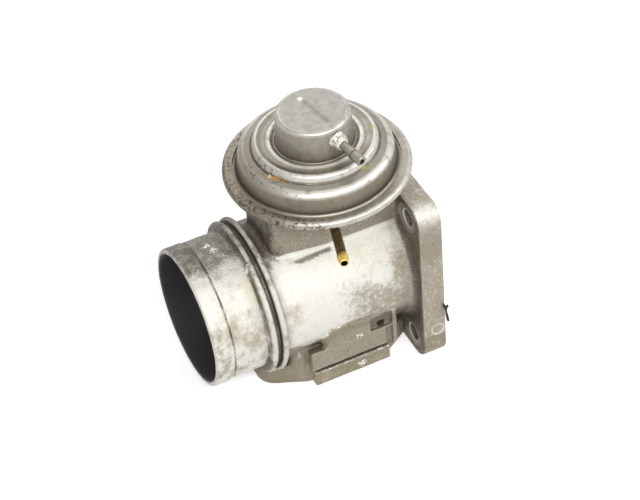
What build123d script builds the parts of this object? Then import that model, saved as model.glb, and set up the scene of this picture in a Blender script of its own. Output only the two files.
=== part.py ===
from build123d import *
import math
import os

os.makedirs("parts", exist_ok=True)

# Vacuum-operated exhaust gas recirculation valve, millimetres.
# Origin: centre of the manifold flange, on its sealing face. +X points out of the flange
# into the manifold, +Z up along the valve stem. The air duct runs along X.

# ---- driving dimensions -------------------------------------------------------------
# air duct and hose spigot
STEM_X = -37.3          # stem axis, behind the sealing face
MOUTH_X = -101.0        # open end of the hose spigot
SPIGOT_R = 29.6         # hose spigot
BAND_R = 30.0           # turned band at the mouth
BAND_LEN = 7.9
MOUTH_BORE_R = 27.4
DUCT_R = 30.0           # duct behind the hose stops
DUCT_BORE_R = 26.0
BORE_TAPER = (-89.0, -80.0)   # where the mouth bore narrows to the duct bore
STOP_X = (-75.9, -71.4)       # the two hose stop ridges
STOP_R = (33.1, 33.5)
STOP_WIDTH = 2.6
GROOVE_R = 30.5         # floor between the ridges
FLANGE_BLEND = 4.0      # fillet between duct and flange

# manifold flange
FLANGE_T = 10.5
FLANGE_HALF_Y = 34.5
FLANGE_HALF_Z = 41.0
FLANGE_CORNER_R = 7.5
BOLT_Y = 24.0           # half spacing across
BOLT_Z = 32.5           # half spacing up
BOLT_HOLE_R = 3.75
SPOTFACE_R = 7.0
SPOTFACE_DEPTH = 0.6
SEAL_R = 30.6           # middle of the seal groove
SEAL_WIDTH = 3.0
SEAL_DEPTH = 2.2

# neck under the actuator
NECK_TOP_Z = 48.0
NECK_LEFT_X = STEM_X - 28.5
NECK_HALF_Y = 15.5
NECK_LEFT_HALF_Y = 13.2
NECK_FOOT_R = 2.5

# exhaust port pedestal
PORT_Z = -35.0          # underside face
PORT_PLATE_T = 10.0
PEDESTAL_HALF_Y = 26.2
TIE_HALF_Y = 16.0       # narrow web between the pedestal's block and the flange
PORT_X = STEM_X - 7.0   # centre of the port and its bolts
PORT_R = 12.5
PORT_BOLT = (25.0, 13.7)      # half vector between the two threaded holes
PORT_THREAD_R = 3.4
PORT_THREAD_DEPTH = 8.5

# clip rail on the pedestal's front
RAIL_Y = -30.2
RAIL_X = (STEM_X - 22.4, STEM_X + 12.0)
RAIL_TOP_Z = -16.2
RAIL_GROOVE_Z = (-27.6, -25.8)
RAIL_PAD = ((-16.0, -17.0), (-17.6, -9.6), (-13.2, -5.6), (-6.0, -5.4), (15.4, -9.6), (15.4, -17.0))
PAD_BEVEL = 2.0         # slope between the pad and the duct
RECESS_X = (STEM_X + 5.0, STEM_X + 15.2)      # shallow recess above the bars
RECESS_Z = (-16.2, -9.8)
RECESS_Y = -28.2
POCKET_X = (STEM_X + 8.8, STEM_X + 12.0)      # small deep pocket in the recess
POCKET_Z = (-16.2, -13.8)
POCKET_Y = -24.6
RIB_X = (STEM_X + 15.2, STEM_X + 17.4)

# seat, poppet and stem
SEAT_Z = (-29.5, -24.5)
SEAT_RING_R = 13.5
SEAT_BORE_R = 10.5
STEM_R = 3.0
VALVE_GAP = 0.15        # between poppet and seat when shut
RIVET_R = 2.4           # stem's end inside the poppet
POPPET_TOP_Z = -17.5
RUNNING = 0.03          # radial clearance of the stem in its bush
PRESS = 0.02            # radial clearance drawn at a pressed joint

# guide
BUSH_R = 5.5
BUSH_Z = (27.0, 42.0)
SEAL_POCKET_R = 8.0

# diaphragm actuator: the can is two pressed shells, the lower one rolled over the upper one
GASKET_Z = (48.0, 49.0)
BASE_SHEET = 1.0
BASE_FLOOR_R = 23.5
BASE_SHOULDER_R = 29.5
RIM_R = 38.4
RIM_Z = (54.0, 57.6)
CRIMP_R = 34.3          # inner edge of the rolled rim
COVER_SHEET = 0.8
DOME_TOP_Z = 83.9
COVER_SKIN = (          # outer skin from the clamped edge to the top of the dome
    (36.7, 56.6), (32.6, 56.6), (31.2, 66.2), (25.9, 67.5), (24.6, 71.0), (21.0, 69.9),
    (18.4, 70.9), (16.2, 69.2), (14.9, DOME_TOP_Z), (0.0, DOME_TOP_Z),
)
COVER_BENDS = (1.4, 3.4, 0.9, 1.5, 2.4, 1.2, 0.6, 1.8)
SCREW_X = 18.0          # each side of the stem
NIPPLE_Z = 78.1         # on the dome's wall
NIPPLE_TURN = 11.5      # degrees from -Y towards +X
NIPPLE_DROP = 4.5       # degrees down towards its tip
NIPPLE_TIP_R = 31.0
NIPPLE_FLARE = (19.8, 25.0)   # where the tube widens from its root to the hose end
NIPPLE_R = 2.15
NIPPLE_ROOT_R = 1.65    # inside the dome's wall and the braze
NIPPLE_BORE_R = 1.1
TAP_Z = 42.0
TAP_TURN = -16.0        # degrees from -Y towards +X
TAP_ROOT = (STEM_X - 2.45, -15.3)
TAP_R = 2.0
TAP_BORE_R = 1.3
BARB_R = 2.2
TAP_LEN = 30.0
TAP_SUNK = 5.5          # pressed into the neck

# diaphragm stack on the stem, valve shut
SHOULDER_Z = 55.6       # the stem's shoulder, under the lower plate
PLATE_R = 17.0
PLATE_T = 1.2
RUBBER_T = 0.8
NECKED_R = 2.5          # stem above its shoulder
CUP_R = 14.6
CUP_HEIGHT = 3.4
CUP_SHEET = 0.8
NUT_ACROSS = 8.0
NUT_T = 4.0
NUT_TOP_Z = SHOULDER_Z + PLATE_T + RUBBER_T + CUP_SHEET + NUT_T

# return spring
SPRING_R = 11.4
WIRE_R = 1.1
SPRING_TURNS = 5.5

# seal in the flange
SEAL_PROUD = 0.6
TAB_RECESS = 0.7        # notch in the face, so that the tab stays below it
TAB_T = 0.6
TAB_HALF_WIDTH = 0.9
SEAL_TAB = ((-29.0, -12.0), (-33.0, -12.3), (-36.0, -13.0))     # (y, z) along the tab
SEAL_HOOK = ((-37.8, -9.9), (-36.0, -13.0), (-36.7, -15.6), (-37.7, -18.0))


# ---- helpers ------------------------------------------------------------------------
def at_stem(shape):
    return Location((STEM_X, 0, 0)) * shape


def ring(r_out, r_in, z_low, z_high):
    """Plain ring about the Z axis."""
    tube = Cylinder(r_out, z_high - z_low) - Cylinder(r_in, z_high - z_low)
    return Location((0, 0, (z_low + z_high) / 2)) * tube


def disc(r, z_low, z_high):
    return Location((0, 0, (z_low + z_high) / 2)) * Cylinder(r, z_high - z_low)


def box(x, y, z):
    """Box from (low, high) pairs."""
    size = [high - low for low, high in (x, y, z)]
    middle = [(low + high) / 2 for low, high in (x, y, z)]
    return Location(middle) * Box(*size)


def turned(points):
    """Solid of revolution about Z from a closed outline of (r, z) points."""
    line = Polyline(*[Vector(r, 0, z) for r, z in points], close=True)
    return revolve(make_face(line), axis=Axis.Z)


def sheet_metal(points, bends, thickness, side):
    """Pressed sheet turned about Z: the (r, z) line is one skin, thickened to one side."""
    line = FilletPolyline(*[Vector(r, 0, z) for r, z in points], radius=bends)
    skin = Wire(line.edges())
    section = skin.offset_2d(thickness, side=side)
    return revolve(make_face(section.edges()), axis=Axis.Z)


# ---- valve housing ------------------------------------------------------------------
def stop_ridge(x, crest, left_foot, right_foot):
    """Half section of one hose stop ridge: straight flanks and a round crest."""
    half = STOP_WIDTH / 2
    shoulder = crest - half * 0.8
    left_top, right_top = Vector(x - half, 0, shoulder), Vector(x + half, 0, shoulder)
    left_base, right_base = Vector(x - half, 0, left_foot), Vector(x + half, 0, right_foot)
    crown = ThreePointArc(left_top, Vector(x, 0, crest), right_top)
    return [Line(left_base, left_top), crown, Line(right_top, right_base)]


def duct_outline():
    """Half section of the spigot and duct, (x, r), from the mouth to the flange."""
    half = STOP_WIDTH / 2
    first, second = STOP_X
    band_end = MOUTH_X + BAND_LEN
    mouth = [(MOUTH_X, 0), (MOUTH_X, BAND_R - 0.7), (MOUTH_X + 0.7, BAND_R), (band_end, BAND_R)]
    mouth += [(band_end + 0.4, SPIGOT_R - 0.6), (band_end + 1.2, SPIGOT_R), (first - half, SPIGOT_R)]
    lines = [Polyline(*[Vector(x, 0, r) for x, r in mouth])]
    lines += stop_ridge(first, STOP_R[0], SPIGOT_R, GROOVE_R)
    lines.append(Line(Vector(first + half, 0, GROOVE_R), Vector(second - half, 0, GROOVE_R)))
    lines += stop_ridge(second, STOP_R[1], GROOVE_R, DUCT_R)
    flange_x = -FLANGE_T
    blend_start = Vector(flange_x - FLANGE_BLEND, 0, DUCT_R)
    blend_end = Vector(flange_x, 0, DUCT_R + FLANGE_BLEND)
    lines.append(Line(Vector(second + half, 0, DUCT_R), blend_start))
    hollow = FLANGE_BLEND * (1 - math.sqrt(0.5))
    blend_middle = Vector(flange_x - hollow, 0, DUCT_R + hollow)
    lines.append(ThreePointArc(blend_start, blend_middle, blend_end))
    tail = [(flange_x, DUCT_R + FLANGE_BLEND), (-1.0, DUCT_R + FLANGE_BLEND), (-1.0, 0), (MOUTH_X, 0)]
    lines.append(Polyline(*[Vector(x, 0, r) for x, r in tail]))
    return make_face(Curve() + lines)


def duct_bore():
    """Air way: mouth bore, taper and duct bore."""
    start, end = BORE_TAPER
    edge = 0.7
    pen = [(MOUTH_X - 1, 0), (MOUTH_X - 1, MOUTH_BORE_R + edge), (MOUTH_X, MOUTH_BORE_R + edge)]
    pen += [(MOUTH_X + edge, MOUTH_BORE_R), (start, MOUTH_BORE_R), (end, DUCT_BORE_R)]
    pen += [(1.0, DUCT_BORE_R), (1.0, 0)]
    return revolve(make_face(Polyline(*[Vector(x, 0, r) for x, r in pen], close=True)), axis=Axis.X)


def manifold_flange():
    outline = RectangleRounded(2 * FLANGE_HALF_Y, 2 * FLANGE_HALF_Z, FLANGE_CORNER_R)
    plate = extrude(Plane.YZ * outline, amount=-FLANGE_T)
    inner = plate.edges().filter_by(GeomType.LINE).filter_by(Plane.YZ).group_by(Axis.X)[0]
    inner += plate.edges().filter_by(GeomType.CIRCLE).filter_by(Plane.YZ).group_by(Axis.X)[0]
    return fillet(inner, 0.8)


def flange_corners():
    return [(y, z) for y in (-BOLT_Y, BOLT_Y) for z in (-BOLT_Z, BOLT_Z)]


def neck():
    """Cast block that carries the actuator; it narrows towards the spigot."""
    right = -FLANGE_T + 1
    middle = STEM_X - 6
    pen = [(NECK_LEFT_X, -NECK_LEFT_HALF_Y), (middle, -NECK_HALF_Y), (right, -NECK_HALF_Y)]
    pen += [(right, NECK_HALF_Y), (middle, NECK_HALF_Y), (NECK_LEFT_X, NECK_LEFT_HALF_Y)]
    block = extrude(make_face(Polyline(*pen, close=True)), amount=NECK_TOP_Z)
    corners = block.edges().filter_by(Axis.Z).group_by(Axis.X)[0]
    block = fillet(corners, 3.0)
    top = block.edges().group_by(Axis.Z)[-1].filter_by(lambda e: e.center().X < right - 0.1)
    return fillet(top, 0.7)


def pedestal_outline():
    """Plan of the exhaust port plate: straight sides, slanted ends and rounded ears."""
    half = PEDESTAL_HALF_Y
    left, right = STEM_X - 40.5, -FLANGE_T + 1
    front = [(left, -17.9), (STEM_X - 22.5, -half), (STEM_X + 14.5, -half), (right, -17.6)]
    back = [(x, -y) for x, y in reversed(front)]
    face = make_face(Polyline(*(front + back), close=True))
    ears = face.vertices().group_by(Axis.X)[0]
    face = fillet(ears, 8.2)
    bends = [v for v in face.vertices() if abs(abs(v.Y) - half) < 0.01]
    return fillet(bends, 9.0)


def pedestal():
    plate = extrude(Location((0, 0, PORT_Z)) * pedestal_outline(), amount=PORT_PLATE_T)
    plate = fillet(plate.edges().group_by(Axis.Z)[-1], 1.2)
    wall = PEDESTAL_HALF_Y - 0.6
    block = box((STEM_X - 30, RIB_X[1] - 0.4), (-wall, wall), (PORT_Z + 2, 0))
    upright = block.edges().filter_by(Axis.Z).group_by(Axis.X)[0]
    tie = box((RIB_X[1] - 1, -FLANGE_T + 1), (-TIE_HALF_Y, TIE_HALF_Y), (PORT_Z + 2, 0))
    return plate + fillet(upright, 6.0) + tie


def clip_rail():
    """Stepped rail cast on the pedestal's front: two bars, a pad up the duct and an end rib."""
    left, right = RAIL_X
    back = -PEDESTAL_HALF_Y + 1.5
    upper = box((left, right), (RAIL_Y, back), (RAIL_GROOVE_Z[1], RAIL_TOP_Z))
    upper = fillet(upper.edges().filter_by(Axis.X).sort_by(Axis.Y)[:2], 0.5)
    lower = box((left + 1.2, right + 1.0), (RAIL_Y, back), (PORT_Z, RAIL_GROOVE_Z[0]))
    lower = fillet(lower.edges().filter_by(Axis.X).sort_by(Axis.Y)[:2], 0.6)
    web = box((left + 0.6, right), (RAIL_Y + 2.2, back), (RAIL_GROOVE_Z[0] - 1, RAIL_GROOVE_Z[1] + 1))
    rib = box(RIB_X, (RAIL_Y + 0.8, back), (RAIL_GROOVE_Z[0], RECESS_Z[1] + 1.0))
    wall = box((right - 1.0, RIB_X[0] + 1.0), (RECESS_Y, back), (RAIL_GROOVE_Z[0], RECESS_Z[1]))
    return upper + lower + web + rib + wall + rail_pad()


def rail_pad():
    """Pad that runs from the upper bar to where it slopes into the duct."""
    outline = [(STEM_X + x, z) for x, z in RAIL_PAD]
    face = make_face(Polyline(*[Vector(x, RAIL_Y + 0.3, z) for x, z in outline], close=True))
    pad = extrude(face, amount=5.0, dir=(0, 1, 0))
    front = pad.edges().group_by(Axis.Y)[0]
    sloped = front.filter_by(lambda e: e.center().Z > RAIL_TOP_Z and e.center().X < RECESS_X[1])
    return chamfer(sloped, PAD_BEVEL)


def rail_pocket():
    """Shallow recess beside the end rib, with a small deep pocket in it."""
    recess = box(RECESS_X, (RAIL_Y - 1, RECESS_Y), RECESS_Z)
    return recess + box(POCKET_X, (RAIL_Y - 1, POCKET_Y), POCKET_Z)


def exhaust_port():
    """Port that sweeps from its centre on the underside to the seat below the stem."""
    mouth = Location((PORT_X, 0, PORT_Z)) * Circle(PORT_R)
    throat = Location((STEM_X, 0, SEAT_Z[0])) * Circle(SEAT_BORE_R)
    below = Location((PORT_X, 0, PORT_Z - 0.5)) * Cylinder(PORT_R, 1.0)
    seat_pocket = at_stem(disc(SEAT_RING_R + PRESS, SEAT_Z[0], SEAT_Z[1]))
    clearance = at_stem(disc(SEAT_RING_R + 1.2, SEAT_Z[1], -10.0))
    return loft([mouth, throat]) + below + seat_pocket + clearance


def stem_passage():
    """Stepped bore in the neck for the guide bush and the stem seal."""
    bore = disc(BUSH_R + PRESS, 10.0, BUSH_Z[1])
    pocket = disc(SEAL_POCKET_R, BUSH_Z[1], NECK_TOP_Z + 1)
    return at_stem(bore + pocket)


def tap_plane(distance):
    """Plane across the tap tube, at a distance out from the neck's face."""
    turn = math.radians(TAP_TURN)
    outward = Vector(math.sin(turn), -math.cos(turn), 0)
    root = Vector(TAP_ROOT[0], TAP_ROOT[1], TAP_Z)
    return Plane(origin=root + outward * distance, z_dir=outward)


def tap_passage():
    """Bore for the tap tube, and the drilling that joins it to the duct."""
    bore = extrude(tap_plane(-TAP_SUNK) * Circle(TAP_R + PRESS), amount=TAP_SUNK + 4)
    end = tap_plane(1.2 - TAP_SUNK).origin
    drilling = Location((end.X, end.Y, 0)) * disc(TAP_BORE_R, 20.0, TAP_Z)
    return bore + drilling


def screw_holes():
    places = [Location((STEM_X + side * SCREW_X, 0, 0)) for side in (-1, 1)]
    return [place * disc(2.02, NECK_TOP_Z - 11, NECK_TOP_Z + 1) for place in places]


def filleted_foot(body):
    """Rounds the corner where the neck stands on the duct."""
    foot = [e for e in body.edges() if is_neck_foot(e.bounding_box())]
    return fillet(foot, NECK_FOOT_R)


def is_neck_foot(span):
    beside_duct = span.min.X > NECK_LEFT_X - 1 and span.max.X < -FLANGE_T + 1
    on_duct = span.min.Z > 20 and span.max.Z < DUCT_R + 1
    return beside_duct and on_duct and max(-span.min.Y, span.max.Y) < NECK_HALF_Y + 1


def ejector_marks():
    """Shallow round marks that the die's ejector pins left."""
    on_flange = Location((-4.0, -FLANGE_HALF_Y, -25.0))
    on_pad = Location((STEM_X - 8.7, RAIL_Y + 0.3, -13.5))
    pins = [(on_flange, 3.0, 0.25), (on_pad, 1.9, 0.3)]
    return [place * Rotation(90, 0, 0) * Cylinder(r, 2 * depth) for place, r, depth in pins]


def flange_holes():
    """Bolt holes and the spot faces round them."""
    tools = []
    for y, z in flange_corners():
        hole = Rotation(0, 90, 0) * Cylinder(BOLT_HOLE_R, FLANGE_T + 2)
        spot = Rotation(0, 90, 0) * Cylinder(SPOTFACE_R, 2 * SPOTFACE_DEPTH)
        tools += [Location((-FLANGE_T / 2, y, z)) * hole, Location((-FLANGE_T, y, z)) * spot]
    return tools


def port_stud_holes():
    tools = []
    for side in (-1, 1):
        place = Location((PORT_X + side * PORT_BOLT[0], side * PORT_BOLT[1], PORT_Z))
        tools.append(place * disc(PORT_THREAD_R, -1.0, PORT_THREAD_DEPTH))
        tools.append(place * Cone(PORT_THREAD_R + 0.7, PORT_THREAD_R - 0.5, 1.2))
    return tools


def seal_groove():
    return Rotation(0, 90, 0) * ring(SEAL_R + SEAL_WIDTH / 2, SEAL_R - SEAL_WIDTH / 2, -SEAL_DEPTH, 1.0)


def tab_notch():
    """Shallow notch from the seal groove out to the flange's front edge."""
    (y_in, z_in), (y_out, z_out) = SEAL_TAB[0], SEAL_TAB[-1]
    middle, run = (z_in + z_out) / 2, abs(z_out - z_in) / 2
    half = TAB_HALF_WIDTH + run + 0.3
    return box((-TAB_RECESS, 1.0), (y_out, y_in), (middle - half, middle + half))


def valve_housing():
    body = revolve(duct_outline(), axis=Axis.X) + manifold_flange() + neck()
    body = filleted_foot(body)
    body += pedestal() + clip_rail()
    tools = [duct_bore(), exhaust_port(), stem_passage(), tap_passage(), rail_pocket()]
    tools += [seal_groove(), tab_notch()]
    tools += screw_holes() + flange_holes() + port_stud_holes() + ejector_marks()
    for tool in tools:
        body -= tool
    return body


# ---- seat, poppet and stem ----------------------------------------------------------
def valve_seat_ring():
    bottom, top = SEAT_Z
    cone = 1.5
    pen = [(SEAT_BORE_R, bottom), (SEAT_RING_R, bottom), (SEAT_RING_R, top)]
    pen += [(SEAT_BORE_R + cone, top), (SEAT_BORE_R, top - cone)]
    return at_stem(turned(pen))


def valve_poppet():
    """Mushroom head with a 45 degree face, bored for the stem's riveted end."""
    shift = VALVE_GAP * math.sqrt(2)
    low = SEAT_Z[1] - 1.8 + shift
    high = low + 2.3
    edge = SEAT_BORE_R + 1.8
    pen = [(RIVET_R, low), (SEAT_BORE_R - 0.5, low), (edge, high), (edge, high + 1.2)]
    back = Polyline(*[Vector(r, 0, z) for r, z in pen])
    neck_r, neck_z = STEM_R + 1.2, POPPET_TOP_Z
    tulip = Spline(
        Vector(edge, 0, high + 1.2), Vector(neck_r, 0, neck_z),
        tangents=(Vector(-1, 0, 0.25), Vector(0, 0, 1)), tangent_scalars=(0.8, 0.8),
    )
    close = Polyline(Vector(neck_r, 0, neck_z), Vector(RIVET_R, 0, neck_z), Vector(RIVET_R, 0, low))
    return at_stem(revolve(make_face(Curve() + [back, tulip, close]), axis=Axis.Z))


def valve_stem():
    """Ground stem: riveted into the poppet below, necked and threaded for the nut above."""
    low = SEAT_Z[1] - 1.8 + VALVE_GAP * math.sqrt(2)
    top = NUT_TOP_Z + 1.4
    pen = [(0, low - 1.2), (3.2, low - 1.2), (3.8, low - 0.6), (3.8, low), (RIVET_R, low)]
    pen += [(RIVET_R, POPPET_TOP_Z), (STEM_R, POPPET_TOP_Z), (STEM_R, SHOULDER_Z)]
    pen += [(NECKED_R, SHOULDER_Z), (NECKED_R, top - 0.5), (NECKED_R - 0.5, top), (0, top)]
    return at_stem(turned(pen))


def stem_guide_bush():
    low, seat = BUSH_Z
    top = seat + 1.5
    bore = STEM_R + RUNNING
    pen = [(bore, low), (BUSH_R - 0.4, low), (BUSH_R, low + 0.8), (BUSH_R, seat)]
    pen += [(SEAL_POCKET_R - 0.6, seat), (SEAL_POCKET_R - 0.6, top), (bore, top)]
    return at_stem(turned(pen))


def stem_seal():
    """Lip seal: a rubber ring with its lip turned down towards the bush."""
    low = BUSH_Z[1] + 1.5
    outer = SEAL_POCKET_R - PRESS
    lip = STEM_R + 0.08
    pen = [(outer, low), (outer, NECK_TOP_Z), (4.2, NECK_TOP_Z), (lip, NECK_TOP_Z - 2.2)]
    pen += [(lip, low + 1.0), (4.4, low + 1.0), (5.4, low)]
    return at_stem(turned(pen))


def soot_shield():
    """Small flared sleeve, pressed in under the bush, that keeps soot off the stem's guide."""
    top = BUSH_Z[0]
    inner = BUSH_R - 0.8
    pen = [(STEM_R + 0.8, top), (BUSH_R, top), (BUSH_R, 24.4), (7.6, 20.6), (6.9, 20.2)]
    pen += [(inner, 24.2), (inner, top - 0.8), (STEM_R + 0.8, top - 0.8)]
    return at_stem(turned(pen))


# ---- actuator -----------------------------------------------------------------------
def screw_places():
    return [Location((side * SCREW_X, 0, 0)) for side in (-1, 1)]


def actuator_gasket():
    low, high = GASKET_Z
    half = NECK_LEFT_HALF_Y - 1
    pad = disc(BASE_FLOOR_R, low, high) & box((-27.5, 30), (-half, half), (low, high))
    pad -= disc(4.4, low, high)
    for place in screw_places():
        pad -= place * disc(2.4, low, high)
    return at_stem(pad)


def actuator_base():
    """Lower shell: dished pan whose edge is rolled over the clamped diaphragm and cover."""
    floor = GASKET_Z[1]
    pen = [(4.2, floor), (BASE_FLOOR_R, floor), (BASE_SHOULDER_R, RIM_Z[0]), (RIM_R, RIM_Z[0])]
    pen += [(RIM_R, RIM_Z[1]), (CRIMP_R, RIM_Z[1])]
    pan = sheet_metal(pen, (2.5, 2.5, 1.6, 1.6), BASE_SHEET, Side.RIGHT)
    for place in screw_places():
        pan -= place * disc(2.3, floor - 1, floor + 3)
    breather = disc(1.5, floor - 1, floor + 3)
    for side in (-1, 1):
        pan -= Location((6.0, side * 19.0, 0)) * breather
    return at_stem(pan)


def actuator_screw():
    """Pan head screw, drawn without its thread."""
    seat = GASKET_Z[1] + BASE_SHEET
    pen = [(0, seat - 11.5), (1.6, seat - 11.5), (2.0, seat - 11.0), (2.0, seat), (3.8, seat)]
    pen += [(3.8, seat + 1.6), (3.0, seat + 2.4), (0, seat + 2.4)]
    socket = extrude(Plane.XY.offset(seat + 2.5) * RegularPolygon(1.5, 6), amount=-1.4)
    return turned(pen) - socket


def actuator_screws():
    return at_stem(Compound([place * actuator_screw() for place in screw_places()]))


def actuator_cover():
    """Upper shell: two stepped rings and the spring dome, pressed from one sheet."""
    cover = sheet_metal(COVER_SKIN, COVER_BENDS, COVER_SHEET, Side.LEFT)
    hole = extrude(nipple_plane(0) * Circle(NIPPLE_ROOT_R), amount=20)
    return at_stem(cover - hole)


def nipple_plane(distance):
    """Plane across the vacuum nipple, at a distance out from the stem axis."""
    turn, drop = math.radians(NIPPLE_TURN), math.radians(NIPPLE_DROP)
    level = Vector(math.sin(turn), -math.cos(turn), 0)
    outward = level * math.cos(drop) - Vector(0, 0, math.sin(drop))
    on_wall = level * dome_r(NIPPLE_Z) + Vector(0, 0, NIPPLE_Z)
    return Plane(origin=on_wall + outward * (distance - dome_r(NIPPLE_Z)), z_dir=outward)


def dome_r(z):
    """Radius of the dome's outer skin, carried on straight above and below it."""
    (r_low, z_low), (r_high, z_high) = COVER_SKIN[-3], COVER_SKIN[-2]
    return r_low + (r_high - r_low) * (z - z_low) / (z_high - z_low)


def vacuum_nipple():
    """Tube that starts inside the dome's wall and widens to its hose end."""
    start = dome_r(NIPPLE_Z) - 2.2
    flare, hose_end = NIPPLE_FLARE
    edge = 0.5
    pen = [(NIPPLE_BORE_R, start), (NIPPLE_ROOT_R, start), (NIPPLE_ROOT_R, flare), (NIPPLE_R, hose_end)]
    pen += [(NIPPLE_R, NIPPLE_TIP_R - edge), (NIPPLE_R - edge, NIPPLE_TIP_R), (NIPPLE_BORE_R, NIPPLE_TIP_R)]
    return at_stem(nipple_plane(0).location * turned(pen))


def nipple_braze_collar():
    """Flared collar of braze between the dome's wall and the nipple."""
    wall = dome_r(NIPPLE_Z)
    wide = nipple_plane(wall - 2.0) * Circle(4.2)
    waist = nipple_plane(wall + 1.2) * Circle(3.2)
    narrow = nipple_plane(wall + 3.6) * Circle(2.1)
    collar = loft([wide, waist, narrow])
    collar -= extrude(nipple_plane(0) * Circle(NIPPLE_ROOT_R), amount=40)
    low, high = NIPPLE_Z - 8, NIPPLE_Z + 8
    dome = turned([(0, low), (dome_r(low), low), (dome_r(high), high), (0, high)])
    return at_stem(collar - dome)


def tap_tube():
    """Brass tube with a hose barb at its tip."""
    tip = TAP_SUNK + TAP_LEN
    pen = [(TAP_BORE_R, 0), (TAP_R, 0), (TAP_R, tip - 5.4), (BARB_R, tip - 4.4), (BARB_R, tip - 2.6)]
    pen += [(TAP_R - 0.2, tip - 0.2), (TAP_R - 0.4, tip), (TAP_BORE_R, tip)]
    return tap_plane(-TAP_SUNK).location * turned(pen)


# ---- diaphragm, plates and spring -----------------------------------------------------
def diaphragm_lower_plate():
    pen = [(NECKED_R, SHOULDER_Z), (PLATE_R - 2.0, SHOULDER_Z), (PLATE_R, SHOULDER_Z - 1.6)]
    plate = sheet_metal(pen, (1.6,), PLATE_T, Side.LEFT)
    return at_stem(plate)


def diaphragm():
    """Rubber: clamped edge, a rolling fold that arches up, and a disc between the plates."""
    edge_low = RIM_Z[0] + BASE_SHEET
    disc_low = SHOULDER_Z + PLATE_T
    pen = [(36.7, edge_low), (32.0, edge_low), (27.5, edge_low + 4.6), (22.0, edge_low + 4.6)]
    pen += [(18.5, disc_low), (NECKED_R, disc_low)]
    line = FilletPolyline(*[Vector(r, 0, z) for r, z in pen], radius=(1.2, 2.6, 2.6, 1.2))
    section = Wire(line.edges()).offset_2d(RUBBER_T, side=Side.RIGHT)
    return at_stem(revolve(make_face(section.edges()), axis=Axis.Z))


def diaphragm_upper_cup():
    """Cup that centres the spring on the diaphragm."""
    low = SHOULDER_Z + PLATE_T + RUBBER_T
    pen = [(NECKED_R, low), (CUP_R, low), (CUP_R, low + CUP_HEIGHT)]
    return at_stem(sheet_metal(pen, (1.2,), CUP_SHEET, Side.RIGHT))


def stem_nut():
    low = NUT_TOP_Z - NUT_T
    hexagon = RegularPolygon(NUT_ACROSS / 2, 6, major_radius=False)
    body = extrude(Plane.XY.offset(low) * hexagon, amount=NUT_T)
    cone = Cone(NUT_ACROSS / 2 + NUT_T + 0.2, NUT_ACROSS / 2 + 0.2, NUT_T)
    body &= Location((0, 0, low + NUT_T / 2)) * cone
    washer = disc(5.5, low, low + 0.8)
    return at_stem(body + washer - disc(NECKED_R, low - 1, NUT_TOP_Z + 1))


def return_spring():
    """Compression spring with ground ends, from the cup to the dome's ceiling."""
    low = SHOULDER_Z + PLATE_T + RUBBER_T + CUP_SHEET
    high = DOME_TOP_Z - COVER_SHEET
    coil_height = high - low - WIRE_R
    path = Helix(pitch=coil_height / SPRING_TURNS, height=coil_height, radius=SPRING_R)
    path = Location((0, 0, low + WIRE_R / 2)) * path
    wire = sweep(Plane(origin=path @ 0, z_dir=path % 0) * Circle(WIRE_R), path=path, is_frenet=True)
    return at_stem(wire & disc(SPRING_R + 3, low, high))


# ---- flange seal ----------------------------------------------------------------------
def seal_strip(points, half_width, bends=None):
    """Flat rubber strip with round ends, sunk in the notch of the sealing face."""
    corners = [Vector(-TAB_RECESS, y, z) for y, z in points]
    line = FilletPolyline(*corners, radius=bends) if bends else Polyline(*corners)
    outline = Wire(line.edges()).offset_2d(half_width, side=Side.BOTH)
    return extrude(make_face(outline.edges()), amount=TAB_T, dir=(1, 0, 0))


def flange_seal():
    """Rubber ring that fills the groove, with the pull tab that hangs out at the front."""
    band = ring(SEAL_R + SEAL_WIDTH / 2 - 0.1, SEAL_R - SEAL_WIDTH / 2 + 0.1, -SEAL_DEPTH, SEAL_PROUD)
    seal = Rotation(0, 90, 0) * band
    seal += seal_strip(SEAL_TAB, TAB_HALF_WIDTH, 4.0)
    seal += seal_strip(SEAL_HOOK, 0.5, (1.2, 2.5))
    seal += seal_strip(SEAL_HOOK[2:], 0.85)
    return seal


# ---- write every node -----------------------------------------------------------------
PIECES = {
    "valve_housing": valve_housing,
    "valve_seat_ring": valve_seat_ring,
    "valve_poppet": valve_poppet,
    "valve_stem": valve_stem,
    "stem_guide_bush": stem_guide_bush,
    "stem_seal": stem_seal,
    "soot_shield": soot_shield,
    "actuator_gasket": actuator_gasket,
    "actuator_base": actuator_base,
    "actuator_screws": actuator_screws,
    "actuator_cover": actuator_cover,
    "vacuum_nipple": vacuum_nipple,
    "nipple_braze_collar": nipple_braze_collar,
    "tap_tube": tap_tube,
    "diaphragm_lower_plate": diaphragm_lower_plate,
    "diaphragm": diaphragm,
    "diaphragm_upper_cup": diaphragm_upper_cup,
    "stem_nut": stem_nut,
    "return_spring": return_spring,
    "flange_seal": flange_seal,
}

for name, make in PIECES.items():
    export_step(make(), f"parts/{name}.step")
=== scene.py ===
import math

import bpy
from mathutils import Matrix, Vector


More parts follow.
